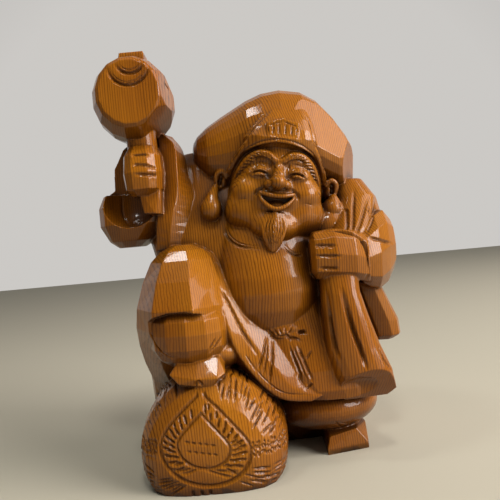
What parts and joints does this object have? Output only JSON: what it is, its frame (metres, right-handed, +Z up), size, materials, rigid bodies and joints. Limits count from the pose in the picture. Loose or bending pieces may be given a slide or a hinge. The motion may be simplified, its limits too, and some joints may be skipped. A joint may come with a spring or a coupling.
{
  "type": "daikoku figure",
  "caption": "Carved wooden figure of a laughing god with a raised mallet and a shouldered sack, stepping up on a rice bale.",
  "frame": {"origin": "middle of the bounding box on the floor, under the carving", "axes": "+Z up, -Y towards the viewer of the front, +X to the viewer's right"},
  "size_m": [0.2242, 0.1723, 0.3075],
  "materials": {
    "varnished_wood": "glossy amber varnish over carved softwood with straight upright grain"
  },
  "bodies": {
    "root": {"daikoku_figure": "varnished_wood"}
  },
  "joints": []
}
